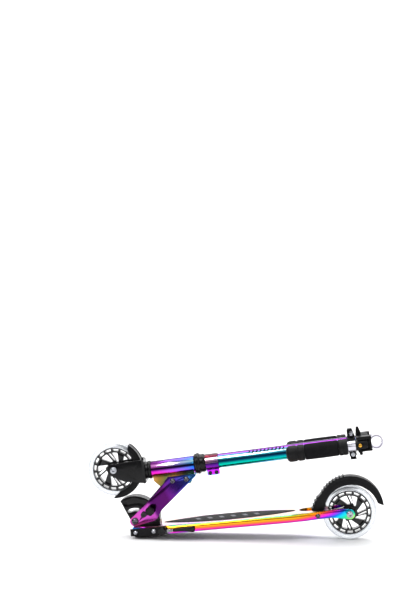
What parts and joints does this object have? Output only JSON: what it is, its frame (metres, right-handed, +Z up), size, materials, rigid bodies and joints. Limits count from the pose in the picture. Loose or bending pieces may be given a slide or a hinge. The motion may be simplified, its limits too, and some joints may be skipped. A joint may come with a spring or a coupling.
{
  "type": "folding kick scooter",
  "caption": "Two-wheel folding kick scooter, folded flat, with rainbow metal deck and column, clear wheels, black foam grips stowed beside the column and a kickstand.",
  "frame": {"origin": "on the floor under the middle of the folded scooter's bounding box", "axes": "+X towards the rear wheel along the scooter, +Z up, -Y the rider's left, where the kickstand is"},
  "size_m": [0.6538, 0.1114, 0.2489],
  "materials": {
    "neo_deck": "glossy rainbow vapour-coated aluminium, orange and pink with a green top edge and a blue lower edge",
    "neo_plate": "glossy rainbow vapour-coated steel, blue-violet at the top to magenta at the foot",
    "neo_gusset": "glossy rainbow vapour-coated steel, olive and bronze",
    "neo_head": "glossy rainbow vapour-coated aluminium, magenta to blue",
    "neo_collar": "glossy rainbow vapour-coated aluminium, violet with a cyan corner",
    "neo_tube": "glossy rainbow vapour-coated aluminium, teal with navy and aqua bands",
    "bar_silver": "bright satin anodised",
    "ferrule_silver": "bright satin anodised",
    "grip_tape": "coarse grit sheet, matt black",
    "black_metal": "satin black coat",
    "black_plastic": "moulded nylon, satin black",
    "fender_plastic": "moulded nylon, dark grey",
    "core_plastic": "moulded nylon, glossy black",
    "tyre_clear": "clear cast polyurethane",
    "bolt_steel": "zinc-plated steel",
    "black_bolt": "black oxide steel",
    "spring_steel": "bright spring wire",
    "brass_button": "polished",
    "foam": "closed-cell foam rubber, matt black",
    "cap_rubber": "moulded rubber, satin black"
  },
  "bodies": {
    "deck": {"deck_platform": "neo_deck", "grip_tape": "grip_tape", "folding_block": "black_metal", "block_backing_plate": "black_metal", "backing_bolt_front": "black_bolt", "backing_bolt_rear": "black_bolt", "fold_pivot_bolt": "bolt_steel", "kickstand_bracket": "black_plastic", "kickstand_screw_front": "bolt_steel", "kickstand_screw_rear": "bolt_steel", "brake_pivot_pin": "bolt_steel", "brake_spring": "spring_steel", "rear_axle_bolt": "bolt_steel", "rear_spacer_left": "bolt_steel", "rear_spacer_right": "bolt_steel"},
    "kickstand": {"kickstand_leg": "black_metal", "kickstand_spring": "spring_steel"},
    "brake": {"brake_fender": "fender_plastic"},
    "rear_wheel": {"rear_wheel_core": "core_plastic", "rear_wheel_tyre": "tyre_clear"},
    "neck": {"side_plate_left": "neo_plate", "side_plate_right": "neo_plate", "plate_bolt_front": "bolt_steel", "plate_bolt_rear": "bolt_steel", "slot_bolt": "black_bolt", "head_tube": "neo_head", "neck_gusset": "neo_gusset", "headset_lower_cup": "black_metal", "headset_upper_cup": "black_metal"},
    "lock_pin": {"lock_pin_knob": "black_metal"},
    "steering": {"headset_top_nut": "black_metal", "fork": "black_metal", "front_fender": "black_plastic", "front_axle_bolt": "bolt_steel", "collar_clamp": "neo_collar", "collar_bolt_lower": "black_bolt", "collar_bolt_upper": "black_bolt", "column_tube": "neo_tube", "height_clamp_band": "black_metal", "height_clamp_bolt": "bolt_steel", "height_clamp_cam_pin": "bolt_steel"},
    "clamp_lever": {"height_clamp_lever": "black_metal"},
    "front_wheel": {"front_wheel_core": "core_plastic", "front_wheel_tyre": "tyre_clear"},
    "t_bar": {"bar_stem": "bar_silver", "bar_cross_tube": "bar_silver", "grip_holder": "black_plastic"},
    "grip_left": {"grip_left_tube": "ferrule_silver", "grip_left_plug": "black_plastic", "grip_left_collar": "cap_rubber", "grip_left_foam": "foam", "grip_left_end_cap": "cap_rubber"},
    "button_left": {"grip_left_button": "brass_button"},
    "grip_right": {"grip_right_tube": "ferrule_silver", "grip_right_plug": "black_plastic", "grip_right_collar": "cap_rubber", "grip_right_foam": "foam", "grip_right_end_cap": "cap_rubber"},
    "button_right": {"grip_right_button": "brass_button"}
  },
  "joints": [
    {"name": "fold", "type": "hinge", "parent": "deck", "child": "neck", "pos_m": [-0.21987, 0, 0.035], "axis": [0, -1, 0], "range_deg": [0, 85]},
    {"name": "steer", "type": "hinge", "parent": "neck", "child": "steering", "pos_m": [-0.14241, 0, 0.15349], "axis": [0.9899, 0, 0.1419], "range_deg": [-40, 40]},
    {"name": "bar_height", "type": "slide", "parent": "steering", "child": "t_bar", "axis": [0.9899, 0, 0.1419], "range_m": [0, 0.28]},
    {"name": "front_wheel_spin", "type": "hinge", "parent": "steering", "child": "front_wheel", "pos_m": [-0.26735, 0, 0.1477], "axis": [0, 1, 0], "continuous": true},
    {"name": "rear_wheel_spin", "type": "hinge", "parent": "deck", "child": "rear_wheel", "pos_m": [0.25243, 0, 0.06], "axis": [0, 1, 0], "continuous": true},
    {"name": "brake_press", "type": "hinge", "parent": "deck", "child": "brake", "pos_m": [0.18284, 0, 0.05714], "axis": [0, 1, 0], "range_deg": [0, 2.2], "stiffness_Nm_per_rad": 3, "springref_deg": -14.32},
    {"name": "kickstand_swing", "type": "hinge", "parent": "deck", "child": "kickstand", "pos_m": [-0.15758, -0.05, 0.01949], "axis": [0, 1, 0], "range_deg": [0, 95]},
    {"name": "lock_pin_push", "type": "slide", "parent": "neck", "child": "lock_pin", "axis": [0, 1, 0], "range_m": [0, 0.006]},
    {"name": "clamp_lever_open", "type": "hinge", "parent": "steering", "child": "clamp_lever", "pos_m": [0.25923, 0.0126, 0.18825], "axis": [0.9899, 0, 0.1419], "range_deg": [0, 150]},
    {"name": "grip_left_swing", "type": "hinge", "parent": "t_bar", "child": "grip_left", "pos_m": [0.30858, -0.038, 0.21816], "axis": [-0.1419, 0, 0.9899], "range_deg": [0, 90]},
    {"name": "grip_right_swing", "type": "hinge", "parent": "t_bar", "child": "grip_right", "pos_m": [0.30858, 0.038, 0.21816], "axis": [0.1419, 0, -0.9899], "range_deg": [0, 90]},
    {"name": "button_left_press", "type": "slide", "parent": "grip_left", "child": "button_left", "axis": [0, 1, 0], "range_m": [0, 0.002], "stiffness_N_per_m": 800, "springref_m": -0.002},
    {"name": "button_right_press", "type": "slide", "parent": "grip_right", "child": "button_right", "axis": [0, -1, 0], "range_m": [0, 0.002], "stiffness_N_per_m": 800, "springref_m": -0.002}
  ]
}
